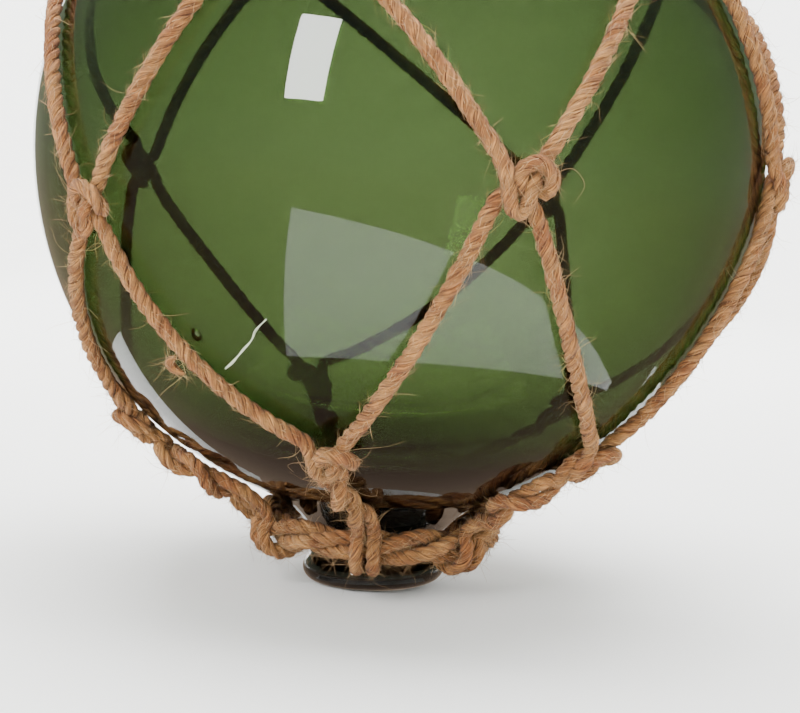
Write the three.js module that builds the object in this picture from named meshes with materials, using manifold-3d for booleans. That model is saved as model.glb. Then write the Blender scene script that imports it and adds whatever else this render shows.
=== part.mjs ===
// A glass float ball: blown glass with a seal button below, held in a knotted jute net.
// Millimetres, +Z up. The origin is the middle of the small flat under the seal; -Y is the front.
// Directions on the ball are [azimuth, latitude] in degrees: azimuth 0 is the front, 90 is +X.
import * as THREE from "three";
import { mergeVertices } from "three/addons/utils/BufferGeometryUtils.js";
import Module from "manifold-3d";

// --- driving dimensions ---
const BALL_R = 125; // outside radius of the ball
const CENTRE_Z = 150.5; // height of the ball's centre over the seal's flat
const FLARE_R = 46; // where the ball's bottom starts to draw down to the seal
const NECK_R = 20.5;
const BUTTON_R = 24.5;
const FLAT_R = 15; // the small flat that it stands on
const BALL_SIDES = 36;
const BALL_STEPS = 16;

const CORD_R = 2.8;
const CORD_SIDES = 6;
const LIE = 0.5; // clearance between a cord and the glass
const GAP = 0.35; // clearance between two cords
const LEG_STEPS = 5;
const SPREAD = 2.2; // how far from a knot's middle its legs start
const DOUBLE = 3; // half the spacing of a doubled loop's two cords

const KNOT = { across: 7.2, along: 8.4, out: 4.6 }; // half sizes of a tied knot
const HITCH = { across: 5.4, along: 6.4, out: 6.2 }; // half sizes of a bight round the top ring
const BASE_RING = { r: 38.5, z: -130, thick: 5.8, steps: 24 };
const FOOT_LAT = -68.5; // where a loop leaves the glass for the base ring
const FOOT = { across: 6.2, along: 7.6, out: 7.6 }; // half sizes of a loop's turn round the base ring
const STUB = { length: 13, r: 2.4 }; // cut cord ends
// where the net's two cut ends stand out at the base ring, and which way
const CUT_ENDS = [[-71.6, [-1, -0.2, 0.55]], [48.9, [0.85, -0.6, 0.6]]];
const TOP_RING = { lat: 74, lift: 6.8, steps: 20, knotAt: 6 };
const TIE = { across: 6, along: 5.6, out: 5.2 }; // half sizes of the knot that closes the top ring

// --- the net: five columns, tied by hand, so no two meshes are quite alike ---
const COLUMNS = 5;
const LOWER = [[-71.6, -47.9], [-9.4, -46.7], [48.9, -46.2], [124, -47.5], [201.2, -46.8]];
const MIDDLE = [[-46.1, -9.8], [16.3, -3.1], [73, -0.8], [152, -6], [234.5, -5.2]];
const UPPER = [[-84, 32], [-17.7, 34], [49, 41], [112, 38], [212, 36]];
const TOP = [[-52, 74], [14, 74], [82, 74], [152, 74], [236, 74]];
// how far each leg bows sideways on the ball, in degrees: [falling to the left, falling to the right]
const BOW_LOWER = [[-2, -1], [0, -1], [-2, 1.5], [1.5, -1], [-2, -6]];
const BOW_MIDDLE = [[1, 1], [0.5, 0.3], [-2.5, 1], [1, 0], [2, 2.5]];
const BOW_UPPER = [[0, 1], [-1, 0.5], [0.5, -1], [1, 0], [-0.5, 1]];

const wasm = await Module();
wasm.setup();

const rad = THREE.MathUtils.degToRad;
const centre = new THREE.Vector3(0, 0, CENTRE_Z);

// Unit direction from the ball's centre.
function direction([az, lat]) {
  const a = rad(az);
  const l = rad(lat);
  return new THREE.Vector3(Math.cos(l) * Math.sin(a), -Math.cos(l) * Math.cos(a), Math.sin(l));
}

// The ball's outline in the (radius, height) plane, heights from the ball's centre.
function ballOutline() {
  const points = [];
  const flare = Math.PI - Math.asin(FLARE_R / BALL_R);
  for (let i = 0; i <= BALL_STEPS; i++) {
    const t = (flare * i) / BALL_STEPS;
    points.push([i === 0 ? 0 : BALL_R * Math.sin(t), BALL_R * Math.cos(t)]);
  }
  points.push([38, -120], [30, -125], [24, -130.5], [NECK_R, -136]);
  points.push([NECK_R + 2, -140], [BUTTON_R, -143.5], [BUTTON_R, -146.5]);
  points.push([21.5, -149.6], [FLAT_R, -CENTRE_Z], [0, -CENTRE_Z]);
  return points;
}

function glassBall() {
  const outline = ballOutline().reverse();
  const profile = outline.map(([r, z]) => new THREE.Vector2(r, z));
  const ball = new THREE.LatheGeometry(profile, BALL_SIDES);
  ball.rotateX(Math.PI / 2);
  ball.translate(0, 0, CENTRE_Z);
  return ball;
}

// A point over the ball's surface.
function over(dir, height) {
  return centre.clone().addScaledVector(dir, BALL_R + height);
}

// A round cord along points, with a flat side kept towards the ball's centre.
function cord(points, radius, { closed = false, sides = CORD_SIDES } = {}) {
  const n = points.length;
  const positions = [];
  const index = [];
  for (let i = 0; i < n; i++) {
    const before = closed ? points[(i + n - 1) % n] : points[Math.max(i - 1, 0)];
    const after = closed ? points[(i + 1) % n] : points[Math.min(i + 1, n - 1)];
    const along = after.clone().sub(before).normalize();
    const outward = points[i].clone().sub(centre);
    outward.addScaledVector(along, -outward.dot(along)).normalize();
    const side = along.clone().cross(outward);
    for (let k = 0; k < sides; k++) {
      const a = ((k + 0.5) / sides) * 2 * Math.PI;
      const p = points[i].clone();
      p.addScaledVector(outward, radius * Math.cos(a)).addScaledVector(side, radius * Math.sin(a));
      positions.push(p.x, p.y, p.z);
    }
  }
  const spans = closed ? n : n - 1;
  for (let i = 0; i < spans; i++) {
    const j = (i + 1) % n;
    for (let k = 0; k < sides; k++) {
      const m = (k + 1) % sides;
      index.push(i * sides + k, i * sides + m, j * sides + m);
      index.push(i * sides + k, j * sides + m, j * sides + k);
    }
  }
  if (!closed) {
    for (let k = 1; k < sides - 1; k++) {
      const last = (n - 1) * sides;
      index.push(0, k + 1, k);
      index.push(last, last + k, last + k + 1);
    }
  }
  const g = new THREE.BufferGeometry();
  g.setAttribute("position", new THREE.Float32BufferAttribute(positions, 3));
  g.setIndex(index);
  return g;
}

function toSolid(geometry) {
  const bare = new THREE.BufferGeometry();
  bare.setAttribute("position", geometry.getAttribute("position"));
  bare.setIndex(geometry.index);
  const merged = mergeVertices(bare, 1e-4);
  const made = new wasm.Manifold(
    new wasm.Mesh({
      numProp: 3,
      vertProperties: merged.attributes.position.array,
      triVerts: new Uint32Array(merged.index.array),
    }),
  );
  if (made.volume() < 0) throw new Error("a solid is inside out");
  return made;
}

function toGeometry(solid) {
  const mesh = solid.getMesh();
  const positions = [];
  for (let i = 0; i < mesh.numVert; i++) {
    for (let k = 0; k < 3; k++) positions.push(mesh.vertProperties[i * mesh.numProp + k]);
  }
  const g = new THREE.BufferGeometry();
  g.setAttribute("position", new THREE.Float32BufferAttribute(positions, 3));
  g.setIndex(Array.from(mesh.triVerts));
  return g;
}

// East and north on the ball's surface at a direction.
function compass(dir) {
  const east = new THREE.Vector3(-dir.y, dir.x, 0).normalize();
  const north = dir.clone().cross(east);
  return { east, north };
}

// A point near a knot: millimetres east and north of it, on the ball.
function near(knot, east, north) {
  const dir = direction(knot);
  const c = compass(dir);
  const moved = dir.clone().multiplyScalar(BALL_R);
  moved.addScaledVector(c.east, east).addScaledVector(c.north, north);
  return moved.normalize();
}

// Directions along a leg over the ball, bowed sideways (positive to the east).
function leg(from, to, bow, steps) {
  const dirs = [];
  const pole = from.clone().cross(to).normalize();
  const east = compass(from.clone().add(to).normalize()).east;
  if (pole.dot(east) < 0) pole.negate();
  const angle = from.angleTo(to);
  for (let i = 0; i <= steps; i++) {
    const t = i / steps;
    const d = from.clone().multiplyScalar(Math.sin((1 - t) * angle));
    d.addScaledVector(to, Math.sin(t * angle));
    d.normalize().addScaledVector(pole, rad(bow) * Math.sin(Math.PI * t));
    dirs.push(d.normalize());
  }
  return dirs;
}

function legCord(from, to, bow) {
  return toSolid(cord(leg(from, to, bow, LEG_STEPS).map((d) => over(d, CORD_R + LIE)), CORD_R));
}

// One zigzag course of the net: high[i] lies between low[i] and low[i + 1].
function course(low, high, bows) {
  return high.flatMap((top, i) => {
    const left = low[i];
    const right = low[(i + 1) % COLUMNS];
    const rise = legCord(near(left, SPREAD, SPREAD), near(top, -SPREAD, -SPREAD), bows[i][0]);
    const fall = legCord(near(top, SPREAD, -SPREAD), near(right, -SPREAD, SPREAD), bows[i][1]);
    return [rise, fall];
  });
}

// A rounded lump of tied cord about a point, its axes set to the ball under it.
function lumpAt(point, size) {
  const ball = new THREE.SphereGeometry(1, 8, 5);
  const dir = point.clone().sub(centre).normalize();
  const { east, north } = compass(dir);
  const frame = new THREE.Matrix4().makeBasis(
    east.multiplyScalar(size.across),
    north.multiplyScalar(size.along),
    dir.multiplyScalar(size.out),
  );
  frame.setPosition(point);
  ball.applyMatrix4(frame);
  return toSolid(ball);
}

function lump(dir, height, size) {
  return lumpAt(over(dir, height), size);
}

function joined(solids) {
  return solids.reduce((sum, next) => sum.add(next));
}

function ringPath(radius, z, steps) {
  const path = [];
  for (let i = 0; i < steps; i++) {
    const a = (i / steps) * 2 * Math.PI;
    path.push(new THREE.Vector3(radius * Math.cos(a), radius * Math.sin(a), CENTRE_Z + z));
  }
  return path;
}

// The doubled loop that rises from the base ring to a low knot: two cords side by side.
function risingLoop(knot) {
  return [-1, 1].map((side) => {
    const foot = near([knot[0], FOOT_LAT], side * DOUBLE, 0);
    const dirs = leg(foot, near(knot, side * DOUBLE, -SPREAD), 0, 3);
    const turn = THREE.MathUtils.radToDeg(DOUBLE / BASE_RING.r);
    const path = [onBaseRing(knot[0] + side * turn), ...dirs.map((d) => over(d, CORD_R + LIE))];
    return toSolid(cord(path, CORD_R));
  });
}

function onBaseRing(az) {
  const a = rad(az);
  const r = BASE_RING.r;
  return new THREE.Vector3(r * Math.sin(a), -r * Math.cos(a), CENTRE_Z + BASE_RING.z);
}

// A cut end of cord that stands out of a point, along a direction.
function stub(from, heading) {
  const to = from.clone().addScaledVector(heading.clone().normalize(), STUB.length);
  return toSolid(cord([from, to], STUB.r));
}

// The gathering cord at the base, a thick twisted ring.
function baseRing(path) {
  return toSolid(cord(path, BASE_RING.thick, { closed: true, sides: 8 }));
}

// The gathering cord at the top, closed by a knot with two short ends at the back.
function topRing(path) {
  const back = path[TOP_RING.knotAt];
  const headings = [new THREE.Vector3(0.75, 1, 0.15), new THREE.Vector3(-1, 0.6, 0.2)];
  const ends = headings.map((heading) => stub(back, heading));
  return joined([toSolid(cord(path, CORD_R, { closed: true })), lumpAt(back, TIE), ...ends]);
}

// The net is one piece: doubled loops, three zigzag courses, their knots and its two cut ends,
// clear of the rings that are threaded through it.
function net(basePath, topPath) {
  const upperAfter = [...UPPER.slice(1), UPPER[0]]; // upper knots in the order of the columns below
  const knots = [...LOWER, ...MIDDLE, ...UPPER];
  const solid = joined([
    ...LOWER.flatMap((knot) => risingLoop(knot)),
    ...course(LOWER, MIDDLE, BOW_LOWER),
    ...course(MIDDLE, upperAfter, BOW_MIDDLE),
    ...course(UPPER, TOP, BOW_UPPER),
    ...LOWER.map(([az]) => lumpAt(onBaseRing(az), FOOT)),
    ...knots.map((knot) => lump(direction(knot), KNOT.out + LIE, KNOT)),
    ...TOP.map((knot) => lump(direction(knot), TOP_RING.lift, HITCH)),
    ...CUT_ENDS.map(([az, heading]) => stub(onBaseRing(az), new THREE.Vector3(...heading))),
  ]);
  return solid
    .subtract(toSolid(cord(basePath, BASE_RING.thick + GAP, { closed: true, sides: 8 })))
    .subtract(toSolid(cord(topPath, CORD_R + GAP, { closed: true })));
}

const basePath = ringPath(BASE_RING.r, BASE_RING.z, BASE_RING.steps);
const topRadius = (BALL_R + TOP_RING.lift) * Math.cos(rad(TOP_RING.lat));
const topZ = (BALL_R + TOP_RING.lift) * Math.sin(rad(TOP_RING.lat));
const topPath = ringPath(topRadius, topZ, TOP_RING.steps);

const solids = {
  net: net(basePath, topPath),
  base_ring: baseRing(basePath),
  top_ring: topRing(topPath),
};

const group = new THREE.Group();
group.name = "glass_float_ball";

function addNode(name, geometry, material) {
  const mesh = new THREE.Mesh(geometry, material);
  mesh.name = name;
  group.add(mesh);
}

addNode(
  "glass_ball",
  glassBall(),
  new THREE.MeshStandardMaterial({ name: "green_glass", color: 0x4f7430, roughness: 0.05 }),
);
for (const [name, solid] of Object.entries(solids)) {
  const jute = new THREE.MeshStandardMaterial({ name: "jute_cord", color: 0xb98a5c, roughness: 0.9 });
  addNode(name, toGeometry(solid), jute);
}

export default group;
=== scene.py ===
import math
import random

import bpy
import numpy as np
from mathutils import Matrix, Vector


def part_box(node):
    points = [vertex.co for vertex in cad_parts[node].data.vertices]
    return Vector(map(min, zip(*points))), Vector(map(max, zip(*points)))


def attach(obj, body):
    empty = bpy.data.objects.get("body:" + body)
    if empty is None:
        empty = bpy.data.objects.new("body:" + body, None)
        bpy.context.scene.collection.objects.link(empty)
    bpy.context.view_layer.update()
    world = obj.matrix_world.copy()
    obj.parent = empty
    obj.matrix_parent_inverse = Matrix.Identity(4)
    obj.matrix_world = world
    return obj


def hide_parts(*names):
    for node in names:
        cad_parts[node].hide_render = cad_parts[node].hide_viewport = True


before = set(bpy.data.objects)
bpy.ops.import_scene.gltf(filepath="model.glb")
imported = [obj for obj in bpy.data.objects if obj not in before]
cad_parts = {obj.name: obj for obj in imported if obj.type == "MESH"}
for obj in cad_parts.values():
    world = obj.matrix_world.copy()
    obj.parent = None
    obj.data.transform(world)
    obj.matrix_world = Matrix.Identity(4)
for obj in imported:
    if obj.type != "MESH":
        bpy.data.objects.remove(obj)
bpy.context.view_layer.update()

# ---------------------------------------------------------------- the frame
# Metres. The origin is the middle of the flat under the seal; -Y is the front.
MM = 0.001
ball_low, ball_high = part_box("glass_ball")
BALL_R = (ball_high.x - ball_low.x) / 2
CENTRE = Vector((0, 0, ball_high.z - BALL_R))
ring_low, ring_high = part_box("base_ring")
RING_Z = (ring_low.z + ring_high.z) / 2
RING_R = 0.0385  # the base ring's middle line

CORD = 2.55 * MM  # a leg's radius, its hairs apart
KNOT_CORD = 2.35 * MM  # the radius where it is pulled tight
LOOP_CORD = 2.4 * MM  # the most in a doubled loop
END_CORD = 2.3 * MM  # a cut end at the base
RING_CORD = 2.7 * MM  # each of the base ring's cords
TOP_CORD = 2.3 * MM
TIE_CORD = 2.1 * MM  # the top cord's two ends
LIE = 0.35 * MM  # how far a leg lies off the glass
PITCH = 14.0 * MM  # one turn of the cord's lay
COLUMNS = 5
TOP_LAT = 74

# [azimuth, latitude] on the ball in degrees, as in the CAD: azimuth 0 is the front, 90 is +X
LOWER = [(-71.6, -47.9), (-9.4, -46.7), (48.9, -46.2), (124, -47.5), (201.2, -46.8)]
MIDDLE = [(-46.1, -9.8), (16.3, -3.1), (73, -0.8), (152, -6), (234.5, -5.2)]
UPPER = [(-84, 32), (-17.7, 34), (49, 41), (112, 38), (212, 36)]
TOP = [(az, TOP_LAT) for az in (-52, 14, 82, 152, 236)]
UPPER_AFTER = UPPER[1:] + UPPER[:1]

# how far each column's legs bow sideways, in degrees: the one up, and the one down to the next knot
BOW_LOWER = [(-2, -1), (0, -1), (-2, 1.5), (1.5, -1), (-2, -6)]
BOW_MIDDLE = [(1, 1), (0.5, 0.3), (-2.5, 1), (1, 0), (2, 2.5)]
BOW_UPPER = [(0, 1), (-1, 0.5), (0.5, -1), (1, 0), (-0.5, 1)]


def direction(knot):
    """The unit vector from the ball's centre to an azimuth and latitude."""
    az, lat = math.radians(knot[0]), math.radians(knot[1])
    return np.array([math.cos(lat) * math.sin(az), -math.cos(lat) * math.cos(az), math.sin(lat)])


def unit(v):
    """A vector at length one, or a row of them."""
    v = np.asarray(v, float)
    return v / np.linalg.norm(v, axis=-1, keepdims=True)


def compass(d):
    """East and north on the ball, at a direction from its centre."""
    east = unit([-d[1], d[0], 0.0])
    return east, np.cross(d, east)


def near(knot, east, north, height):
    """A point beside a knot: millimetres east, north and out from the glass."""
    d = direction(knot)
    e, n = compass(d)
    flat = d * BALL_R + e * east * MM + n * north * MM
    return np.array(CENTRE) + unit(flat) * (BALL_R + height * MM)


def leg(a, b, bow, steps, height):
    """Points over the ball from one point to another, the ends left out, bowed sideways."""
    c = np.array(CENTRE)
    u, v = unit(a - c), unit(b - c)
    pole = unit(np.cross(u, v))
    if pole @ compass(unit(u + v))[0] < 0:
        pole = -pole
    ang = math.acos(np.clip(u @ v, -1, 1))
    points = []
    for i in range(1, steps):
        t = i / steps
        d = (math.sin((1 - t) * ang) * u + math.sin(t * ang) * v) / math.sin(ang)
        d = unit(d + pole * math.radians(bow) * math.sin(math.pi * t))
        points.append(c + d * (BALL_R + height * MM))
    return points


# ---------------------------------------------------------------- knots
# Each knot is two cords, in millimetres east, north and out from the glass.
# The cord from above turns in a bight; the cord from below comes up through it, round and back under.
BIGHT = [(-8.3, 7.2, 3.6), (-6.6, 2.6, 5.6), (-6.0, -1.6, 6.8), (-5.0, -5.6, 6.6), (-2.6, -7.2, 6.2),
         (-0.6, -5.0, 6.7), (0.0, -1.4, 6.9), (1.4, 2.2, 5.6), (3.0, 5.4, 3.4), (5.2, 9.0, 2.9)]
WRAP = [(-10.5, -8.0, 2.9), (-8.0, -3.6, 2.7), (-5.0, -0.6, 2.6), (-1.4, 1.3, 2.5), (3.2, 1.2, 2.6),
        (6.0, -1.2, 4.0), (6.7, 2.4, 6.2), (4.6, 5.8, 7.6), (0.9, 7.4, 7.9), (-2.5, 5.8, 7.4),
        (-3.2, 2.4, 6.4), (-1.2, -1.6, 4.2), (1.6, -4.6, 2.8), (4.6, -9.5, 2.9)]
# a loop's knot: as WRAP, with the two ends drawn together below
LOOP_WRAP = [(-5.2, -12, 4.6), (-6.6, -6, 3.4)] + WRAP[2:-2] + [(1.2, -6.2, 3.6), (0.6, -12.5, 2.9)]
# the last course's turn over the ring at the top
TURN = [(-3.4, -10, 2.9), (-2.6, -4.5, 2.5), (-2.0, 0.0, 2.3), (-1.2, 4.2, 3.6), (0.0, 6.2, 7.0),
        (1.0, 4.0, 10.4), (1.8, 0.0, 11.3), (2.6, -4.0, 9.0), (3.4, -8.0, 4.6), (4.0, -12, 2.9)]
KNOT_PRESS = 0.86  # how far a knot is flattened on the glass


def knot_spins():
    """How far each knot is turned, in degrees, and its scale: no two are quite alike."""
    rng = random.Random(21)
    spins = {}
    for knot in LOWER + MIDDLE + UPPER:
        spins[knot] = (rng.uniform(-7, 7), rng.uniform(0.88, 0.96))
    spins[MIDDLE[1]] = (0.0, 0.95)
    spins[MIDDLE[0]] = (6.0, 0.9)
    return spins


SPIN = knot_spins()


def tied(pattern, knot, turn=0.0, scale=1.0):
    """A knot's cord as points, turned and scaled a little."""
    c, s = math.cos(math.radians(turn)), math.sin(math.radians(turn))
    out = []
    for e, n, h in pattern:
        out.append(near(knot, scale * (c * e - s * n), scale * (s * e + c * n), KNOT_PRESS * h))
    return out


# ---------------------------------------------------------------- smooth curves
FINE = 0.3 * MM  # the spacing of a curve's points before they are spaced evenly


def spline(points, closed=False, step=0.5 * MM):
    """A Catmull-Rom curve through points, spaced evenly, and the length run at each of its points."""
    p = np.array(points, float)
    n = len(p)
    if closed:
        ext = np.vstack([p[-1:], p, p[:2]])
        spans = n
    else:
        ext = np.vstack([2 * p[0] - p[1], p, 2 * p[-1] - p[-2]])
        spans = n - 1
    fine = []
    for i in range(spans):
        p0, p1, p2, p3 = ext[i], ext[i + 1], ext[i + 2], ext[i + 3]
        k = max(2, int(np.linalg.norm(p2 - p1) / FINE))
        d0 = max(np.linalg.norm(p1 - p0) ** 0.5, 1e-6)
        d1 = max(np.linalg.norm(p2 - p1) ** 0.5, 1e-6)
        d2 = max(np.linalg.norm(p3 - p2) ** 0.5, 1e-6)
        m1 = (p1 - p0) / d0 - (p2 - p0) / (d0 + d1) + (p2 - p1) / d1
        m2 = (p2 - p1) / d1 - (p3 - p1) / (d1 + d2) + (p3 - p2) / d2
        m1, m2 = m1 * d1, m2 * d1
        for j in range(k):
            t = j / k
            h00, h10 = 2 * t**3 - 3 * t**2 + 1, t**3 - 2 * t**2 + t
            h01, h11 = -2 * t**3 + 3 * t**2, t**3 - t**2
            fine.append(h00 * p1 + h10 * m1 + h01 * p2 + h11 * m2)
    fine.append(p[0] if closed else p[-1])
    fine = np.array(fine)
    run = np.concatenate([[0], np.cumsum(np.linalg.norm(np.diff(fine, axis=0), axis=1))])
    count = max(4, int(round(run[-1] / step)))
    s = np.linspace(0, run[-1], count + 1)
    even = np.stack([np.interp(s, run, fine[:, k]) for k in range(3)], 1)
    if closed:
        even, s = even[:-1], s[:-1]
    return even, s


def tangents(line, closed):
    if closed:
        return unit(np.roll(line, -1, 0) - np.roll(line, 1, 0))
    return unit(np.gradient(line, axis=0))


def square_to(vectors, along):
    """Vectors at length one, with their share along a line's tangents taken out."""
    return unit(vectors - along * np.sum(vectors * along, 1, keepdims=True))


def carried(path, closed):
    """Tangent and two side vectors carried along a path without twist; they start out from the ball."""
    t = tangents(path, closed)
    n = len(path)
    u = np.zeros_like(path)
    u[0] = square_to(path[:1] - np.array(CENTRE), t[:1])[0]
    for i in range(1, n):
        v = u[i - 1] - t[i] * (u[i - 1] @ t[i])
        u[i] = v / np.linalg.norm(v)
    if closed:
        v = u[-1] - t[0] * (u[-1] @ t[0])
        v = v / np.linalg.norm(v)
        off = math.atan2(np.dot(np.cross(v, u[0]), t[0]), v @ u[0])
        a = off * np.arange(n) / n
        w = np.cross(t, u)
        u = u * np.cos(a)[:, None] + w * np.sin(a)[:, None]
    return t, u, np.cross(t, u)


WAVES = (0.046, 0.023, 0.0117, 0.0061)  # a ripple's wavelengths


def ripple(s, seed, size):
    """A slow, even-tempered wobble along a length, made of a few sines."""
    rng = random.Random(seed)
    total = np.zeros_like(s)
    for wave in WAVES:
        total += math.sqrt(wave / WAVES[0]) * np.sin(2 * math.pi * s / wave + rng.uniform(0, 6.28))
    return size * total / 2


# ---------------------------------------------------------------- meshes
def finish_mesh(name, mesh, materials, uvs=None, smooth=True):
    """Give a mesh its materials, shading and, at each vertex, its place along the cord."""
    if uvs is not None:
        layer = mesh.uv_layers.new(name="along")
        loops = np.zeros(len(mesh.loops), np.int32)
        mesh.loops.foreach_get("vertex_index", loops)
        layer.data.foreach_set("uv", np.asarray(uvs, np.float32)[loops].ravel())
    for m in materials:
        mesh.materials.append(m)
    mesh.polygons.foreach_set("use_smooth", [smooth] * len(mesh.polygons))
    mesh.update()
    o = bpy.data.objects.new(name, mesh)
    bpy.context.scene.collection.objects.link(o)
    return o


def mesh_object(name, verts, faces, materials, smooth=True):
    mesh = bpy.data.meshes.new(name)
    mesh.from_pydata([tuple(v) for v in verts], [], faces)
    return finish_mesh(name, mesh, materials, smooth=smooth)


class Soup:
    """Vertices, faces and lengthwise coordinates gathered for one mesh."""

    def __init__(self):
        self.v, self.uv, self.count = [], [], 0
        self.quads, self.tris, self.caps = [], [], []

    def add(self, points, uv):
        """Take in vertices, and say the number of the first one."""
        self.v.append(points.reshape(-1, 3))
        self.uv.append(uv.reshape(-1, 2))
        base = self.count
        self.count += len(self.v[-1])
        return base

    def tube(self, centre, u, w, radii, closed, s, strand):
        """A tube round a line; radii has a row for each point and a column for each side."""
        n, sides = radii.shape
        a = (np.arange(sides) + 0.5) / sides * 2 * math.pi
        ring = u[:, None, :] * np.cos(a)[None, :, None] + w[:, None, :] * np.sin(a)[None, :, None]
        uv = np.zeros((n, sides, 2))
        uv[..., 0] = s[:, None]
        uv[..., 1] = strand + 0.8 * np.arange(sides)[None, :] / sides
        base = self.add(centre[:, None, :] + ring * radii[:, :, None], uv)
        index = base + np.arange(n * sides).reshape(n, sides)
        here = index if closed else index[:-1]
        there = np.roll(index, -1, 0) if closed else index[1:]
        quad = np.stack([here, np.roll(here, -1, 1), np.roll(there, -1, 1), there], -1)
        self.quads.append(quad.reshape(-1, 4))
        if not closed:
            self.caps.append(index[0][::-1].tolist())
            self.caps.append(index[-1].tolist())

    def spikes(self, lines, radii, s, strand):
        """Many fibres at once: lines is (fibre, point, xyz), three-sided and drawn to a tip."""
        count, points, _ = lines.shape
        along = unit(np.gradient(lines, axis=1))
        ref = unit(np.cross(along, np.array([0.31, 0.52, 0.79])) + 1e-9)  # any direction across
        side = np.cross(along, ref)
        body = points - 1
        ring = np.zeros((count, body, 3, 3))
        taper = np.linspace(1, 0.5, body)
        for k in range(3):
            turn = 2 * math.pi * k / 3
            across = ref[:, :body] * math.cos(turn) + side[:, :body] * math.sin(turn)
            ring[:, :, k] = lines[:, :body] + across * (radii[:, None] * taper[None, :])[..., None]
        all_points = np.concatenate([ring.reshape(count, body * 3, 3), lines[:, -1:]], 1)
        uv = np.zeros((count, body * 3 + 1, 2))
        uv[..., 0] = s[:, None]
        uv[..., 1] = strand[:, None]
        base = self.add(all_points, uv) + np.arange(count) * (body * 3 + 1)
        for row in range(body - 1):
            for k in range(3):
                m = (k + 1) % 3
                quad = np.array([row * 3 + k, row * 3 + m, row * 3 + 3 + m, row * 3 + 3 + k])
                self.quads.append(base[:, None] + quad)
        for k in range(3):
            tip = np.array([(body - 1) * 3 + k, (body - 1) * 3 + (k + 1) % 3, body * 3])
            self.tris.append(base[:, None] + tip)
        self.tris.append(base[:, None] + np.array([2, 1, 0]))

    def build(self, name, materials):
        """The object that all of it makes."""
        mesh = bpy.data.meshes.new(name)
        verts = np.vstack(self.v).astype(np.float32)
        groups = [np.vstack(g).astype(np.int32) for g in (self.quads, self.tris) if g]
        caps = [np.array([c], np.int32) for c in self.caps]
        loops = np.concatenate([g.ravel() for g in groups + caps])
        sizes = np.concatenate([np.full(len(g), g.shape[1]) for g in groups + caps])
        starts = np.concatenate([[0], np.cumsum(sizes)[:-1]]).astype(np.int32)
        mesh.vertices.add(len(verts))
        mesh.vertices.foreach_set("co", verts.ravel())
        mesh.loops.add(len(loops))
        mesh.loops.foreach_set("vertex_index", loops)
        mesh.polygons.add(len(starts))
        mesh.polygons.foreach_set("loop_start", starts)
        mesh.update(calc_edges=True)
        return finish_mesh(name, mesh, materials, np.vstack(self.uv))


# ---------------------------------------------------------------- cord
STRANDS, STRAND_SIDES = 3, 9
STRAND_OUT, STRAND_R = 0.45, 0.58  # a strand's offset and radius, of the cord's radius
RIDGES = ((3, 0.045), (5, 0.03))  # bundles of fibre round a strand, and how far they stand
CALM = 0.02  # from a cord's ends, or a closed cord's join, to where it wobbles fully
# how far strands stray: radians round the cord, shares of their offset and radius, radians of the ridges
TWIST_WOBBLE, OFFSET_WOBBLE, SIZE_WOBBLE, RIDGE_DRIFT = 0.5, 0.10, 0.07, 2.2


def laid(soup, path, s, closed, radius, seed):
    """A three-strand laid cord along a path. radius is one number or one for each point."""
    _, u, w = carried(path, closed)
    radius = np.broadcast_to(radius, len(path))
    length = s[-1] + (s[1] - s[0] if closed else 0)
    turns = round(length / PITCH) if closed else length / PITCH
    calm = np.clip(np.minimum(s, length - s) / CALM, 0, 1)
    angle = 2 * math.pi * turns * s / length + ripple(s, seed + 5, TWIST_WOBBLE) * calm
    around = (np.arange(STRAND_SIDES) + 0.5) / STRAND_SIDES * 2 * math.pi
    for k in range(STRANDS):
        phase = angle + k * 2 * math.pi / STRANDS
        out = np.cos(phase)[:, None] * u + np.sin(phase)[:, None] * w
        offset = radius * STRAND_OUT * (1 + ripple(s, seed + 11 * k, OFFSET_WOBBLE) * calm)
        centre = path + out * offset[:, None]
        size = radius * STRAND_R * (1 + ripple(s, seed + 31 * k + 3, SIZE_WOBBLE) * calm)
        along = tangents(centre, closed)
        a = square_to(out, along)
        relief = np.ones((len(path), STRAND_SIDES))
        for lobes, depth in RIDGES:
            drift = ripple(s, seed + 7 * lobes + k, RIDGE_DRIFT) * calm
            relief += depth * np.sin(lobes * around[None, :] + drift[:, None])
        soup.tube(centre, a, np.cross(along, a), size[:, None] * relief, closed, s, k + seed % 7)


# length mm, radius mm, points, lift, curl, and how many on each millimetre of cord
NAP = dict(length=(0.7, 2.1), thick=(0.045, 0.075), points=3, lift=(0.25, 1.1), curl=0.35, share=2.9)
STREAK = dict(length=(2.5, 6.5), thick=(0.055, 0.095), points=4, lift=(0.05, 0.28), curl=0.16, share=1.9)
FRAY = dict(length=(2.0, 5.0), thick=(0.06, 0.11), points=4, lift=(0.05, 0.9), curl=0.3, share=16)
WHISKER = dict(length=(4.0, 12.0), thick=(0.042, 0.07), points=8, lift=(0.3, 1.2), curl=0.6, share=0.42)
PATCHY, BAREST = 0.9, 0.25  # how uneven the growth is, and the least of it
ROOT, ROOT_BACK = 0.93, 0.1 * MM  # where a fibre starts: of the cord's radius, and this far back
BENEATH, TURNED_OUT = 0.3, 2.2  # which roots are too near the glass, and how far they are turned
SPREAD, WANDER = 0.22, 0.08  # how much fibres differ in direction at the root, and on the way
TURN_BACK, BACK_BEND = 0.6, -0.7  # from this share of its length on, a fibre bends back again
GLASS_GAP = 0.25 * MM  # no nearer to the glass than this
FLOOR_GAP = 0.3 * MM


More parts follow.
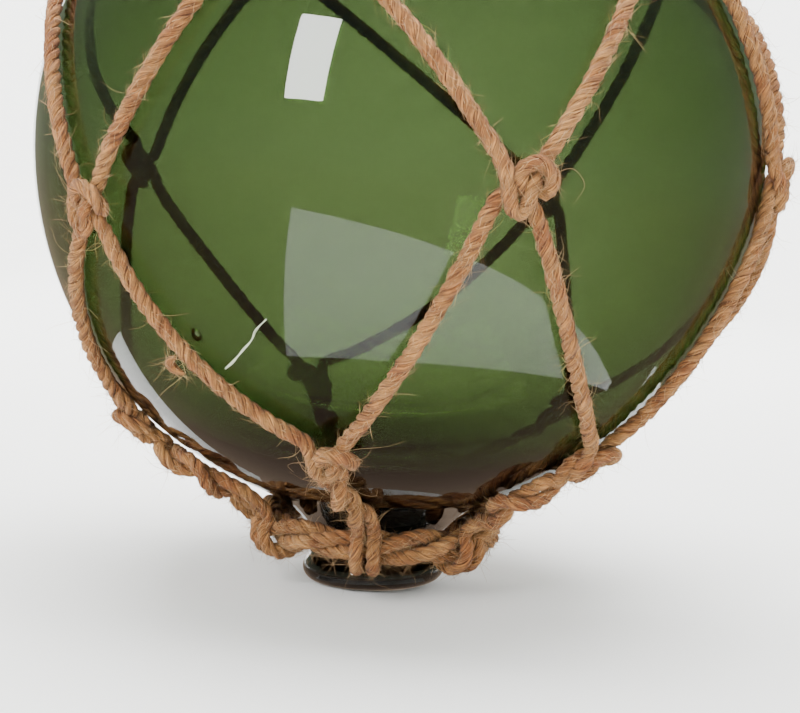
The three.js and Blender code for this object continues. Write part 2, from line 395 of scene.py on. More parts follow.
def fibres(soup, path, s, radius, seed, kind, much=1.0):
    """Loose fibres of one kind on a cord, denser in patches, kept off the glass and the floor."""
    rng = np.random.default_rng(seed)
    t, u, w = carried(path, False)
    radius = np.broadcast_to(radius, len(path))
    centre = np.array(CENTRE)
    want = int((s[-1] - s[0]) / MM * kind["share"] * much)
    patchy = np.clip(1 + ripple(s, seed + 2, PATCHY), BAREST, None)
    i = rng.choice(len(path), want, p=patchy / patchy.sum())
    # outwards from the cord; those beneath it come out at its sides
    phi = rng.uniform(0, 2 * math.pi, want)
    out = np.cos(phi)[:, None] * u[i] + np.sin(phi)[:, None] * w[i]
    up = unit(path[i] - centre)
    under = np.minimum(np.sum(out * up, 1) + BENEATH, 0)
    out = unit(out - TURNED_OUT * under[:, None] * up)
    # along the cord either way, lifted off it, and bending as it goes
    size = rng.uniform(*kind["length"], want) * MM
    lift = rng.uniform(*kind["lift"], want)
    way = np.where(rng.random(want) < 0.5, 1.0, -1.0)
    d = unit(out * lift[:, None] + t[i] * way[:, None] + rng.normal(0, SPREAD, (want, 3)))
    bend = rng.normal(0, kind["curl"], (want, 3)) - 0.25 * kind["curl"] * out
    segments = kind["points"] - 1
    line = [path[i] + out * radius[i][:, None] * ROOT - d * ROOT_BACK]
    for k in range(segments):
        swing = 1.0 if k < TURN_BACK * segments else BACK_BEND
        d = unit(d + bend * swing * 3 / kind["points"] + rng.normal(0, WANDER, (want, 3)))
        q = line[-1] + d * (size / segments)[:, None]
        away = q - centre
        reach = np.linalg.norm(away, axis=1)
        q = q + away / reach[:, None] * np.maximum(BALL_R + GLASS_GAP - reach, 0)[:, None]
        q[:, 2] = np.maximum(q[:, 2], FLOOR_GAP)
        line.append(q)
    thick = rng.uniform(*kind["thick"], want) * MM
    # each fibre's two coordinates are its own, so that the material gives it a shade of its own
    soup.spikes(np.stack(line, 1), thick, s[i] + rng.uniform(0, 0.4, want), rng.uniform(0, 7, want))


def hairs(soup, path, s, radius, seed, much=1.0):
    """A cord's short nap, the fibres that lie along it, and a few that stand away."""
    for k, kind in enumerate((NAP, STREAK, WHISKER)):
        fibres(soup, path, s, radius, seed * 3 + k, kind, much)


# ---------------------------------------------------------------- materials
def node_material(name):
    """A new material, with its nodes, its links and its shader."""
    m = bpy.data.materials.new(name)
    m.use_nodes = True
    return m, m.node_tree.nodes, m.node_tree.links, m.node_tree.nodes["Principled BSDF"]


def noise_node(nodes, scale, detail=2, roughness=0.5):
    noise = nodes.new("ShaderNodeTexNoise")
    noise.inputs["Scale"].default_value = scale
    noise.inputs["Detail"].default_value = detail
    noise.inputs["Roughness"].default_value = roughness
    return noise


def ramp_node(nodes, *stops):
    """A colour ramp through stops, each a position and a colour."""
    ramp = nodes.new("ShaderNodeValToRGB")
    elements = ramp.color_ramp.elements
    while len(elements) < len(stops):
        elements.new(0.5)
    for element, (position, colour) in zip(elements, stops):
        element.position = position
        element.color = (*colour, 1)
    return ramp


def along_cord(nodes):
    """Where a point is on its cord: metres along it, and round it."""
    uv = nodes.new("ShaderNodeUVMap")
    uv.uv_map = "along"
    return uv.outputs["UV"]


def jute_material(name, light, dark, seed):
    """Hairy brown yarn: streaks along each strand, stained in blotches, finely rough, dull all over."""
    m, nodes, links, shader = node_material(name)
    stretch = nodes.new("ShaderNodeMapping")
    stretch.inputs["Scale"].default_value = (190, 20, 1)
    stretch.inputs["Location"].default_value = (seed, seed * 0.37, 0)
    streaks = noise_node(nodes, 1.0, 4, 0.65)
    links.new(along_cord(nodes), stretch.inputs["Vector"])
    links.new(stretch.outputs["Vector"], streaks.inputs["Vector"])
    place = nodes.new("ShaderNodeTexCoord")
    blotch = noise_node(nodes, 95, 3)
    links.new(place.outputs["Object"], blotch.inputs["Vector"])
    grain = noise_node(nodes, 1900)
    links.new(place.outputs["Object"], grain.inputs["Vector"])
    ramp = ramp_node(nodes, (0.39, dark), (0.60, light))
    links.new(streaks.outputs["Fac"], ramp.inputs["Fac"])
    tint = ramp_node(nodes, (0.35, (0.60, 0.40, 0.34)), (0.62, (1.0, 0.98, 0.92)))
    links.new(blotch.outputs["Fac"], tint.inputs["Fac"])
    mix = nodes.new("ShaderNodeMix")
    mix.data_type = "RGBA"
    mix.blend_type = "MULTIPLY"
    mix.inputs["Factor"].default_value = 0.8
    links.new(ramp.outputs["Color"], mix.inputs["A"])
    links.new(tint.outputs["Color"], mix.inputs["B"])
    links.new(mix.outputs["Result"], shader.inputs["Base Color"])
    height = nodes.new("ShaderNodeMath")
    height.operation = "ADD"
    links.new(streaks.outputs["Fac"], height.inputs[0])
    links.new(grain.outputs["Fac"], height.inputs[1])
    bump = nodes.new("ShaderNodeBump")
    bump.inputs["Strength"].default_value = 0.85
    bump.inputs["Distance"].default_value = 0.0005
    links.new(height.outputs["Value"], bump.inputs["Height"])
    links.new(bump.outputs["Normal"], shader.inputs["Normal"])
    shader.inputs["Roughness"].default_value = 0.88
    shader.inputs["Specular IOR Level"].default_value = 0.25
    shader.inputs["Sheen Weight"].default_value = 0.08
    shader.inputs["Sheen Roughness"].default_value = 0.5
    return m


def hair_material(name, light, dark):
    """Loose fibres, each in its own shade between two colours."""
    m, nodes, links, shader = node_material(name)
    noise = noise_node(nodes, 60)
    links.new(along_cord(nodes), noise.inputs["Vector"])
    ramp = ramp_node(nodes, (0.35, dark), (0.65, light))
    links.new(noise.outputs["Fac"], ramp.inputs["Fac"])
    links.new(ramp.outputs["Color"], shader.inputs["Base Color"])
    shader.inputs["Roughness"].default_value = 0.6
    shader.inputs["Specular IOR Level"].default_value = 0.3
    return m


def glass_material():
    """Clear bottle glass that is green by its thickness."""
    m, nodes, links, shader = node_material("green_glass")
    shader.inputs["Base Color"].default_value = (1.0, 1.0, 1.0, 1)
    shader.inputs["Roughness"].default_value = 0.0
    shader.inputs["IOR"].default_value = 1.5
    shader.inputs["Transmission Weight"].default_value = 1.0
    absorb = nodes.new("ShaderNodeVolumeAbsorption")
    absorb.inputs["Color"].default_value = (0.175, 0.29, 0.01, 1)
    absorb.inputs["Density"].default_value = 440
    links.new(absorb.outputs["Volume"], nodes["Material Output"].inputs["Volume"])
    return m


def paper_material():
    """The studio's pale paper."""
    m, nodes, links, shader = node_material("paper")
    noise = noise_node(nodes, 3)
    ramp = ramp_node(nodes, (0.0, (0.86, 0.86, 0.85)), (1.0, (0.90, 0.90, 0.89)))
    links.new(noise.outputs["Fac"], ramp.inputs["Fac"])
    links.new(ramp.outputs["Color"], shader.inputs["Base Color"])
    shader.inputs["Roughness"].default_value = 0.9
    shader.inputs["Specular IOR Level"].default_value = 0.1
    return m


JUTE = jute_material("jute_yarn", (0.49, 0.245, 0.085), (0.085, 0.032, 0.012), 3.0)
HAIR = hair_material("jute_hair", (0.62, 0.41, 0.21), (0.14, 0.060, 0.026))
GLASS = glass_material()
PAPER = paper_material()


# ---------------------------------------------------------------- the net
LEG_STEPS = 9
KNOT_LIFT = 4  # a knot's middle from the glass, mm
KNOT_REACH, KNOT_EASE = 11.0, 4  # mm from there to where its cords are full, and how gradually


def course(low, high, bows, top=False):
    """One zigzag course as a closed line of points: round each low knot, up, over the next high one."""
    points = []
    h = (CORD + LIE) / MM
    for i in range(COLUMNS):
        after = low[(i + 1) % COLUMNS]
        bight = tied(BIGHT, low[i], *SPIN[low[i]])
        over_knot = tied(TURN, high[i]) if top else tied(WRAP, high[i], *SPIN[high[i]])
        next_bight = tied(BIGHT, after, *SPIN[after])
        points += bight + leg(bight[-1], over_knot[0], bows[i][0], LEG_STEPS, h)
        points += over_knot + leg(over_knot[-1], next_bight[0], bows[i][1], LEG_STEPS, h)
    return points


def knot_radius(path, knots):
    """A cord's radius along a path: full on the legs, tighter in the knots."""
    near_knot = np.zeros(len(path))
    for k in knots:
        c = near(k, 0, 0, KNOT_LIFT)
        d = np.linalg.norm(path - c, axis=1) / MM
        near_knot = np.maximum(near_knot, np.clip((KNOT_REACH - d) / KNOT_EASE, 0, 1))
    return CORD + (KNOT_CORD - CORD) * near_knot


def ring_point(az, angle, off):
    """A point off metres from the base ring's middle line, at an angle from outwards to up."""
    a, t = math.radians(az), math.radians(angle)
    r = RING_R + off * math.cos(t)
    return np.array([r * math.sin(a), -r * math.cos(a), RING_Z + off * math.sin(t)])


LOOP_SEED, CUT_SEED, SLUB_SEED = 400, 450, 460
# for each doubled loop: how far it leans round from its knot to the base ring, and how far it bows
# sideways, in degrees; and how far its two cords swing either side of their middle line, in mm
LEAN = (13, 5.4, -3.5, -1.0, 0.8)
LOOP_BOW = (4.0, 0, -4.5, 0, 0)
SWING = (3.7, 2.0, 2.9, 2.4, 2.6)
CROSSING = 4.6  # how high one cord rises over the other, mm
FOOT_LAT = -66
FOOT_OFF = 7.9 * MM  # from the base ring's middle line
FOOT_HALF = 2.5 * MM  # half the spacing of a loop's two cords at the ring
FOOT_ANGLES = (38, 0, -42, -86, -130, -172)  # down outside the ring and under it
FOOT_BACK, FOOT_TUCK = 168, 0.4 * MM  # up behind it, a little nearer
LOOP_STEPS = 11
PAIR_TURN = (0.08, 0.94)  # of a full turn of two cords round each other: at the knot, and at the foot


def foot_turn(az, turn):
    """A loop's turn round the base ring: down outside it, under it and up behind, then back."""
    down = []
    up = []
    for k, angle in enumerate(FOOT_ANGLES):
        aside = turn * (0.9 + 0.04 * k)
        down.append(ring_point(az + aside, angle, FOOT_OFF))
        up.append(ring_point(az - aside, angle, FOOT_OFF))
    return down + [ring_point(az, FOOT_BACK, FOOT_OFF - FOOT_TUCK)] + up[::-1]


def twisted_pair(top, foot, bow, swing):
    """Two cords that cross over each other twice from a knot down to a foot, from the top down."""
    line = np.array(leg(top, foot, bow, LOOP_STEPS, 0))
    d = unit(line - np.array(CENTRE))
    side = unit(np.cross(d, np.gradient(line, axis=0))) * swing * MM
    angle = 2 * math.pi * np.linspace(*PAIR_TURN, len(line))
    pair = []
    for way in (1, -1):
        lift = CORD + LIE + CROSSING * MM * np.maximum(0, way * np.sin(angle))
        pair.append(list(line + side * way * np.cos(angle)[:, None] + d * lift[:, None]))
    return pair


def rising_loop(knot, i):
    """A doubled loop as one closed line: round in its knot, down, round the base ring and back up."""
    wrap = tied(LOOP_WRAP, knot, *SPIN[knot])
    az = knot[0] + LEAN[i]
    foot = foot_turn(az, math.degrees(FOOT_HALF / RING_R))
    top = (wrap[0] + wrap[-1]) / 2
    right, left = twisted_pair(top, near((az, FOOT_LAT), 0, 0, 0), LOOP_BOW[i], SWING[i])
    return wrap + right + foot + left[::-1]


# where the net's two cut ends stand out at the base ring, and which way
CUT_ENDS = [(-71.6, (-1, -0.2, 0.55)), (48.9, (0.85, -0.6, 0.6))]
CUT_ANGLE, CUT_OFF = 20, 4 * MM  # where it leaves the ring
CUT_STOPS = (0, 3, 6, 9, 11)  # mm
CUT_RISE = 0.02  # mm for each mm squared
CUT_OPENS = 0.35 * MM


def cut_end(soup, fuzz, az, heading, seed):
    """A short free end of cord, opening out and frayed where it was cut."""
    start = ring_point(az, CUT_ANGLE, CUT_OFF)
    heading = unit(heading)
    stops = [start + heading * d * MM + np.array([0, 0, CUT_RISE * d * d]) * MM for d in CUT_STOPS]
    path, s = spline(stops)
    radius = END_CORD + CUT_OPENS * np.linspace(0, 1, len(path)) ** 3
    laid(soup, path, s, False, radius, seed)
    hairs(fuzz, path, s, radius, seed, much=2)
    tip = len(path) // 5
    fibres(fuzz, path[-tip:], s[-tip:], radius[-tip:] * 0.8, seed + 1, FRAY)


# a short thick place in a strand: where it is, and its line, in mm east, north and out
SLUB = (-34.9, -31.6)
SLUB_LINE = [(0.6, 3.2, 3.6), (-2.0, 1.6, 3.8), (-2.7, -0.4, 3.6), (-1.6, -2.2, 3.2), (0.8, -3.4, 3.0)]
SLUB_ENDS, SLUB_BULGE = 0.5 * MM, 1.1 * MM


def slub(soup, fuzz, seed):
    """The thick place, standing out beside the cord, with its own hairs."""
    path, s = spline([near(SLUB, e, n, h) for e, n, h in SLUB_LINE], step=0.4 * MM)
    _, u, w = carried(path, False)
    bulge = SLUB_ENDS + SLUB_BULGE * np.sin(np.linspace(0, math.pi, len(path)))
    soup.tube(path, u, w, bulge[:, None] * np.ones((1, STRAND_SIDES)), False, s, strand=2)
    hairs(fuzz, path, s, bulge, seed, much=2)


# long fibres that stand away near the two knots in front: points near them, and a thickness in mm
FRONT, UPPER_FRONT = LOWER[1], MIDDLE[1]
LOOSE_CURLS = [
    (FRONT, [(-1, 2, 6), (3, 9, 8), (9, 13, 9), (17, 12, 7), (23, 11, 4)], 0.065),
    (FRONT, [(-2, -6, 5), (-6, -13, 6), (-3, -19, 6), (2, -21, 5)], 0.065),
    (FRONT, [(-3, 1, 6), (-9, 3, 8), (-13, -1, 7), (-12, -6, 6)], 0.07),
    (FRONT, [(3, -9, 5), (8, -13, 7), (12, -12, 8), (13, -8, 8)], 0.06),
    (UPPER_FRONT, [(4, 3, 6), (10, 6, 9), (14, 2, 9), (12, -4, 7)], 0.07),
]


def loose_curl(fuzz, knot, stops, thick):
    """One long fibre that has come free, through points near a knot."""
    path, _ = spline([near(knot, e, n, h) for e, n, h in stops], step=1.0 * MM)
    fuzz.spikes(path[None], np.array([thick * MM]), np.array([0.3]), np.array([2.2]))


def make_piece(name, cord, fuzz):
    """The two objects of a piece of cordwork: its strands, and its loose fibres."""
    objs = []
    for suffix, soup, material in (("", cord, JUTE), ("_hairs", fuzz, HAIR)):
        o = soup.build(name + suffix, [material])
        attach(o, "root")
        objs.append(o)
    return objs


def make_course(name, points, knots, seed):
    """A zigzag course of the net, with its loose fibres."""
    path, s = spline(points, closed=True, step=1.1 * MM)
    radius = knot_radius(path, knots)
    cord, fuzz = Soup(), Soup()
    laid(cord, path, s, True, radius, seed)
    hairs(fuzz, path, s, radius, seed)
    return make_piece(name, cord, fuzz)


def make_loops():
    """The five doubled loops, with the net's cut ends, the slub and the loose curls."""
    cord, fuzz = Soup(), Soup()
    for i, knot in enumerate(LOWER):
        path, s = spline(rising_loop(knot, i), closed=True, step=0.9 * MM)
        radius = np.minimum(knot_radius(path, [knot]), LOOP_CORD)
        laid(cord, path, s, True, radius, LOOP_SEED + i)
        hairs(fuzz, path, s, radius, LOOP_SEED + i, much=1.4)
    for k, (az, heading) in enumerate(CUT_ENDS):
        cut_end(cord, fuzz, az, heading, CUT_SEED + k)
    slub(cord, fuzz, SLUB_SEED)
    for knot, stops, thick in LOOSE_CURLS:
        loose_curl(fuzz, knot, stops, thick)
    return make_piece("net_loops", cord, fuzz)


def make_net():
    """Three courses from the bottom up, then the doubled loops that hold them to the base ring."""
    lower = course(LOWER, MIDDLE, BOW_LOWER)
    middle = course(MIDDLE, UPPER_AFTER, BOW_MIDDLE)
    upper = course(UPPER, TOP, BOW_UPPER, top=True)
    made = make_course("net_lower", lower, LOWER + MIDDLE, seed=101)
    made += make_course("net_middle", middle, MIDDLE + UPPER, seed=202)
    made += make_course("net_upper", upper, UPPER + TOP, seed=303)
    made += make_loops()
    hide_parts("net")


# ---------------------------------------------------------------- the base ring
RING_CORDS, RING_TURNS = 3, 4
RING_OFF = 3.2 * MM  # a cord's middle from the ring's
RING_POINTS = 48
RING_SEED = 50


def make_base_ring():
    """Three cords laid round each other along the ring, a little unevenly."""
    cord, fuzz = Soup(), Soup()
    for c in range(RING_CORDS):
        points = []
        for k in range(RING_POINTS):
            az = 360 * k / RING_POINTS
            a = math.radians(az)
            angle = RING_TURNS * az + 360 * c / RING_CORDS
            wobble = 1 + 0.10 * math.sin(3 * a + RING_SEED) + 0.06 * math.sin(7 * a)
            points.append(ring_point(az, angle, RING_OFF * wobble))
        path, s = spline(points, closed=True, step=0.9 * MM)
        laid(cord, path, s, True, RING_CORD, RING_SEED + c)
        hairs(fuzz, path, s, RING_CORD, RING_SEED + c, much=2)
    made = make_piece("base_rope", cord, fuzz)
    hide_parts("base_ring")


# ---------------------------------------------------------------- the ring at the top
TOP_LIFT = 7.2  # its middle line from the glass, mm
TOP_SEED, TIE_SEED = 77, 80
TIE_AZ = 198
# an end's turns round the ring: points, degrees from one to the next, mm along, north and out
TIE_POINTS, TIE_STEP, TIE_ALONG, TIE_NORTH, TIE_OUT = 14, 55, 0.42, 4.6, 4.4
TIE_END = [(8.0, -7.0, 0.5), (9.5, -12.0, -2.5)]


def tie_path(side):
    """One end of the top cord: twice round the ring, then a short free end."""
    tie = (TIE_AZ, TOP_LAT)
    points = []
    for k in range(TIE_POINTS):
        a = math.radians(side * (k * TIE_STEP + 20))
        e = side * (0.6 + k * TIE_ALONG)
        points.append(near(tie, e, TIE_NORTH * math.sin(a), TOP_LIFT + TIE_OUT * math.cos(a)))
    for e, n, h in TIE_END:
        points.append(near(tie, side * e, n, TOP_LIFT + h))
    return points


def make_top_ring():
    """The gathering cord, and its two ends tied round it."""
    cord, fuzz = Soup(), Soup()
    circle = [near((az, TOP_LAT), 0, 0, TOP_LIFT) for az in range(0, 360, 15)]
    path, s = spline(circle, closed=True, step=0.9 * MM)
    laid(cord, path, s, True, TOP_CORD, TOP_SEED)
    hairs(fuzz, path, s, TOP_CORD, TOP_SEED)
    for side in (-1, 1):
        path, s = spline(tie_path(side), step=0.8 * MM)
        laid(cord, path, s, False, TIE_CORD, TIE_SEED + side)
        hairs(fuzz, path, s, TIE_CORD, TIE_SEED + side)
    made = make_piece("top_cord", cord, fuzz)
    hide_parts("top_ring")


# ---------------------------------------------------------------- the glass ball
OUTER_SIDES, INNER_SIDES = 160, 128
OUTER_ROWS, INNER_ROWS = 96, 80
WALL = 0.005
BASE_THICKER = 0.006  # the wall's extra thickness at the very bottom

# the neck and the button below it, as (radius, height) from the ball's centre
SHOULDER_R = 0.046  # the sphere ends here
SHOULDER = (0.049, -0.1149)  # a point on the sphere, so that the neck's curve leaves it smoothly
NECK = [(0.038, -0.1202), (0.030, -0.1252), (0.0240, -0.1308), (0.0212, -0.1358), (0.0222, -0.1398),
        (0.0243, -0.1432), (0.0246, -0.1460), (0.0228, -0.1488), (0.0190, -0.1500), (0.0150, -0.1505)]
FLAT_R = 0.0150
NECK_TOP = -0.112
BUTTON_TOP, BUTTON_DEEP = 0.128, 0.012  # the button leans more and more over this depth
BUTTON_EDGE, BUTTON_RIM = 0.0155, 0.006  # and towards its rim; the flat stays level
BUTTON_OVAL, BUTTON_LEAN = 0.022, 0.045
OUTER_WAVE, INNER_WAVE = 0.0009, 0.0016  # of the radius

# the two larger bubbles: [azimuth, latitude], mm below the surface, mm in radius, how far drawn out
BUBBLES = [((-31.4, -27.6), 2.5, 1.9, 1.15), ((-27.1, -21.8), 2.0, 0.5, 1.3)]
SMALL_BUBBLES = 90
BUBBLE_ROWS, BUBBLE_SIDES = 6, 10


def revolve(verts, faces, profile, sides, warp, inward=False):
    """A closed surface of revolution from (radius, height) pairs that start and end on the axis."""
    rings = []
    for r, z in profile:
        if r < 1e-7:
            rings.append([len(verts)])
            verts.append((CENTRE.x, CENTRE.y, CENTRE.z + z))
            continue
        ring = []
        for k in range(sides):
            a = 2 * math.pi * k / sides
            x, y, zz = warp(r * math.cos(a), r * math.sin(a), z)
            ring.append(len(verts))
            verts.append((CENTRE.x + x, CENTRE.y + y, CENTRE.z + zz))
        rings.append(ring)
    for a, b in zip(rings, rings[1:]):
        for k in range(sides):
            m = (k + 1) % sides
            if len(a) == 1:
                face = (a[0], b[k], b[m])
            elif len(b) == 1:
                face = (a[k], b[0], a[m])
            else:
                face = (a[k], b[k], b[m], a[m])
            faces.append(tuple(reversed(face)) if inward else face)


def outer_profile():
    """From the top down, with the bottom drawn out into a neck and a rounded button."""
    arc = []
    last = math.pi - math.asin(SHOULDER_R / BALL_R)
    for i in range(OUTER_ROWS + 1):
        t = last * i / OUTER_ROWS
        arc.append((BALL_R * math.sin(t) if i else 0.0, BALL_R * math.cos(t)))
    tail = np.array([(r, 0, z) for r, z in [SHOULDER, arc[-1]] + NECK])
    smooth, _ = spline(tail, step=0.9 * MM)
    below = [(p[0], p[2]) for p in smooth if p[0] < SHOULDER_R - 0.2 * MM or p[2] < -0.118]
    flat = -(ball_high.z - ball_low.z - BALL_R)
    return arc + below[:-1] + [(FLAT_R, flat), (FLAT_R / 2, flat), (0.0, flat)]


def rise(value, start, span):
    """From 0 at start to 1 a span further on."""
    return min(1.0, max(0.0, (value - start) / span))


def warp_outer(x, y, z):
    """Blown glass is never quite true: a soft wave, and a button a little thicker to one side."""
    a = math.atan2(y, x)
    if z > NECK_TOP:
        k = 1 - OUTER_WAVE * (1 + math.sin(2 * a + 1.3 + 9 * z) * math.cos(31 * z + 0.4))
        return x * k, y * k, z
    button = rise(-z, BUTTON_TOP, BUTTON_DEEP)
    edge = rise(math.hypot(x, y), BUTTON_EDGE, BUTTON_RIM)
    k = 1 + BUTTON_OVAL * button * edge * math.sin(2 * a + 0.7)
    return x * k, y * k, z + BUTTON_LEAN * (x - 0.2 * y) * button * edge


def inner_profile():
    """The hollow, from the top down: a sphere, raised where the glass is thick below."""
    r = BALL_R - WALL
    pts = []
    for i in range(INNER_ROWS + 1):
        t = math.pi * i / INNER_ROWS
        thick = BASE_THICKER * max(0.0, -math.cos(t)) ** 8
        pts.append((r * math.sin(t) if 0 < i < INNER_ROWS else 0.0, r * math.cos(t) + thick))
    return pts


def warp_inner(x, y, z):
    a = math.atan2(y, x)
    k = 1 + INNER_WAVE * math.sin(3 * a + 22 * z) * math.cos(25 * z + 1.1)
    return x * k, y * k, z


def bubble(verts, faces, spot, depth, size, long):
    """A small air bubble in the wall, drawn out a little, facing inwards."""
    c = near(spot, 0, 0, -depth)
    d = direction(spot)
    e, n = compass(d)
    base = len(verts)
    rows, cols = BUBBLE_ROWS, BUBBLE_SIDES
    verts.append(tuple(c + n * size * long * MM))
    for i in range(1, rows):
        t = math.pi * i / rows
        for k in range(cols):
            p = 2 * math.pi * k / cols
            across = e * math.sin(t) * math.cos(p)
            off = n * math.cos(t) * long + across + d * math.sin(t) * math.sin(p) * 0.8
            verts.append(tuple(c + off * size * MM))
    verts.append(tuple(c - n * size * long * MM))
    end = len(verts) - 1
    for k in range(cols):
        m = (k + 1) % cols
        faces.append((base, base + 1 + k, base + 1 + m))
        for i in range(rows - 2):
            a, b = base + 1 + i * cols, base + 1 + (i + 1) * cols
            faces.append((a + k, b + k, b + m, a + m))
        a = base + 1 + (rows - 2) * cols
        faces.append((a + k, end, a + m))


def make_ball():
    """The blown shell with its neck and button, its hollow, and the bubbles in its wall."""
    verts, faces = [], []
    revolve(verts, faces, outer_profile(), OUTER_SIDES, warp_outer)
    revolve(verts, faces, inner_profile(), INNER_SIDES, warp_inner, inward=True)
    for spot, depth, size, long in BUBBLES:
        bubble(verts, faces, spot, depth, size, long)
    rng = random.Random(8)
    for _ in range(SMALL_BUBBLES):
        spot = (rng.uniform(-180, 180), rng.uniform(-55, 70))
        bubble(verts, faces, spot, rng.uniform(1.2, 3.8), rng.uniform(0.12, 0.32), rng.uniform(1, 2.2))
    ball = mesh_object("glass_shell", verts, faces, [GLASS])
    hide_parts("glass_ball")
    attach(ball, "root")


# ---------------------------------------------------------------- lint
# a wisp of pale lint on the glass, from its thick end to its tip, as [azimuth, latitude]
LINT = [(-26.8, -32.2), (-23.4, -29.4), (-20.8, -26.8), (-20.1, -25.4), (-17.8, -23.3)]
LINT_THICK = 0.34 * MM
LINT_LIFT, LINT_PART = 0.25, 0.3  # mm off the glass, and between its two fibres


def make_lint():
    """Two fibres that cross and part along the wisp."""
    lines = Soup()
    path, s = spline([near(spot, 0, 0, LINT_LIFT) for spot in LINT], step=0.8 * MM)
    for offset, thick in ((0.0, LINT_THICK), (LINT_PART, LINT_THICK / 2)):
        strand = path + np.array([offset * MM, 0, -offset * MM]) * np.sin(s * 400)[:, None]
        lines.spikes(strand[None], np.array([thick]), np.array([0.0]), np.array([0.0]))
    o = lines.build("stray_fibre", [hair_material("pale_lint", (0.62, 0.66, 0.52), (0.42, 0.46, 0.34))])
    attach(o, "root")


# ---------------------------------------------------------------- studio
COVE = 0.5  # the curve up from floor to wall
FLOOR_R, WALL_TOP = 1.9, 1.7
STEP_AZ = 4  # degrees; 0 is the front
COVE_STEPS = 12
BACK_R, BACK_AZ = 0.35, 152  # the glass mirrors the paper behind it from here out
PATCH_AZ = (-28, 76)  # the bright ground in front that the glass mirrors, a crescent
PATCH_R = 0.155
SEAL_R, SEAL_AZ = (0.0255, 0.036), 60  # a strip of floor close to the seal
SIDE_R, SIDE_AZ = (0.055, 0.21), (96, 176)  # and the floor close behind on both sides


def patch_edge(az):
    """The crescent's far edge: it narrows to nothing to the right."""
    share = min(1.0, max(0.0, (PATCH_AZ[1] - az) / (PATCH_AZ[1] - PATCH_AZ[0])))
    return PATCH_R + 0.01 + 0.4 * share**1.3


def cove_section(az):
    """Radius and height from the middle of the floor out and up the wall."""
    far = patch_edge(az) if PATCH_AZ[0] <= az <= PATCH_AZ[1] else SIDE_R[1]
    section = [(r, 0.0) for r in (0.001, *SEAL_R, SIDE_R[0], PATCH_R, far, 0.7, FLOOR_R - COVE)]
    for k in range(1, COVE_STEPS + 1):
        t = math.radians(90 * k / COVE_STEPS)
        section.append((FLOOR_R - COVE + COVE * math.sin(t), COVE - COVE * math.cos(t)))
    return section + [(FLOOR_R, WALL_TOP)]


def in_glass(az, radius):
    """Whether the glass mirrors this paper: a crescent in front, and strips by the seal and behind."""
    patch = PATCH_AZ[0] < az < PATCH_AZ[1] and PATCH_R < radius < patch_edge(az)
    by_seal = abs(az) < SEAL_AZ and SEAL_R[0] < radius < SEAL_R[1]
    beside = SIDE_AZ[0] < abs(az) < SIDE_AZ[1] and SIDE_R[0] < radius < SIDE_R[1]
    behind = abs(az) > BACK_AZ and radius > BACK_R
    return patch or by_seal or beside or behind


def make_cove():
    """A round floor with a wall all about it; the glass mirrors the room beyond the rest of it."""
    sets = {True: ([], []), False: ([], [])}
    for az in range(-180, 180, STEP_AZ):
        near_side, far_side = cove_section(az), cove_section(az + STEP_AZ)
        a, b = math.radians(az), math.radians(az + STEP_AZ)
        for k in range(len(near_side) - 1):
            middle = (near_side[k][0] + near_side[k + 1][0] + far_side[k][0] + far_side[k + 1][0]) / 4
            verts, faces = sets[in_glass(az + STEP_AZ / 2, middle)]
            base = len(verts)
            corners = ((near_side[k], a), (near_side[k + 1], a), (far_side[k + 1], b), (far_side[k], b))
            for (r, z), turn in corners:
                verts.append((r * math.sin(turn), -r * math.cos(turn), z))
            faces.append((base, base + 1, base + 2, base + 3))
    for mirrored, (verts, faces) in sets.items():
        o = mesh_object("paper_mirrored" if mirrored else "paper", verts, faces, [PAPER], smooth=False)
        o.visible_glossy = mirrored


def softbox(name, at, aim, size, power):
    """A rectangular light of a size in metres and a power in watts, turned to a point."""
    data = bpy.data.lights.new(name, "AREA")
    data.shape = "RECTANGLE"
    data.size, data.size_y = size
    data.energy = power
    o = bpy.data.objects.new(name, data)
    o.location = at
    o.rotation_mode = "QUATERNION"
    o.rotation_quaternion = (Vector(aim) - Vector(at)).to_track_quat("-Z", "Y")
    bpy.context.scene.collection.objects.link(o)
    return o


def make_lights():
    """A tall key light on the left, soft light from above and behind, and a weak fill on the right."""
    softbox("key", (-0.66, -1.22, 0.78), CENTRE, size=(0.3, 0.62), power=20)
    softbox("overhead", (0, 0.3, 1.6), (0, 0.35, 0), size=(1.7, 1.6), power=100)
    softbox("wash", (0, 0.7, 1.15), (0, 1.9, 0.35), size=(0.8, 0.4), power=30)
    fill = softbox("fill", (1.35, -1.0, 0.95), CENTRE, size=(1.2, 1.2), power=3)
    fill.visible_glossy = False


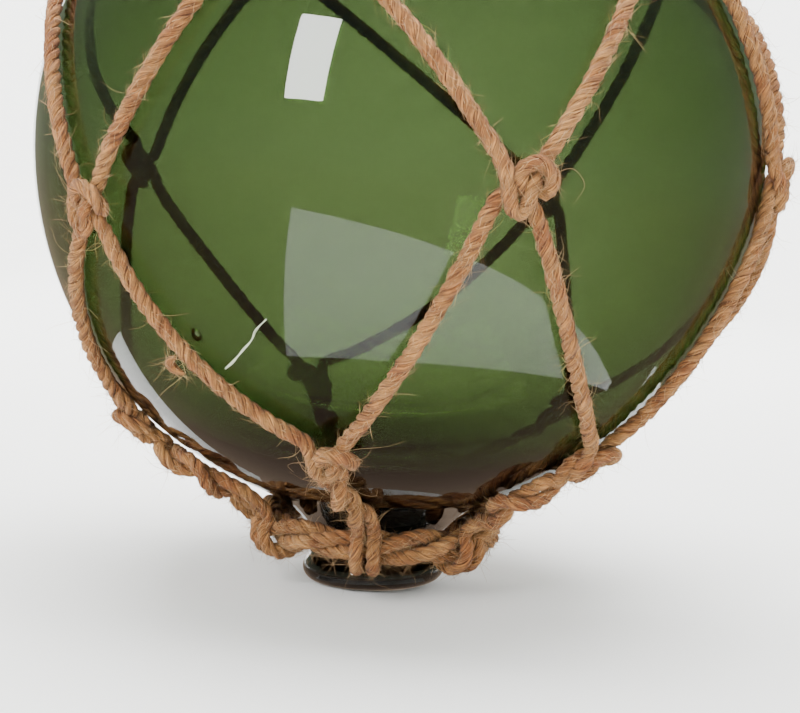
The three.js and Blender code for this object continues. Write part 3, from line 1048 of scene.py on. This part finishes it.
# the room beyond the paper: warm below, dull green above
SKY = ((0.0, (0.50, 0.36, 0.27)), (0.42, (0.50, 0.38, 0.28)), (0.5, (0.45, 0.45, 0.33)),
       (0.6, (0.30, 0.34, 0.24)), (1.0, (0.25, 0.30, 0.25)))
SKY_STRENGTH = 0.9


def make_world():
    """The room's light, a ramp of colours from straight down to straight up."""
    world = bpy.data.worlds.new("studio")
    bpy.context.scene.world = world
    world.use_nodes = True
    nodes, links = world.node_tree.nodes, world.node_tree.links
    way = nodes.new("ShaderNodeTexCoord")
    split = nodes.new("ShaderNodeSeparateXYZ")
    links.new(way.outputs["Generated"], split.inputs["Vector"])
    height = nodes.new("ShaderNodeMapRange")
    height.inputs["From Min"].default_value = -1
    height.inputs["From Max"].default_value = 1
    links.new(split.outputs["Z"], height.inputs["Value"])
    ramp = ramp_node(nodes, *SKY)
    links.new(height.outputs["Result"], ramp.inputs["Fac"])
    links.new(ramp.outputs["Color"], nodes["Background"].inputs["Color"])
    nodes["Background"].inputs["Strength"].default_value = SKY_STRENGTH


# ---------------------------------------------------------------- camera
YAW, PITCH_DOWN, ROLL = math.radians(0.41), math.radians(6.42), math.radians(3.8)
LENS, SENSOR = 80.73, 36  # mm
DISTANCE = 5 * BALL_R


def make_camera():
    """Level with the ball's centre, and aimed low so that the ball stands high in the frame."""
    level = math.cos(PITCH_DOWN)
    forward = Vector((math.sin(YAW) * level, math.cos(YAW) * level, -math.sin(PITCH_DOWN)))
    right = Vector((math.cos(YAW), -math.sin(YAW), 0))
    up = right.cross(forward)
    rolled_right = right * math.cos(ROLL) + up * math.sin(ROLL)
    rolled_up = up * math.cos(ROLL) - right * math.sin(ROLL)
    data = bpy.data.cameras.new("camera")
    data.lens = LENS
    data.sensor_width = SENSOR
    data.clip_start = 0.02
    camera = bpy.data.objects.new("camera", data)
    turn = Matrix((rolled_right, rolled_up, -forward)).transposed().to_4x4()
    camera.matrix_world = Matrix.Translation(CENTRE + Vector((0, -DISTANCE, 0))) @ turn
    bpy.context.scene.collection.objects.link(camera)
    bpy.context.scene.camera = camera


# ---------------------------------------------------------------- all of it
make_net()
make_base_ring()
make_top_ring()
make_ball()
make_lint()
make_cove()
make_lights()
make_world()
make_camera()
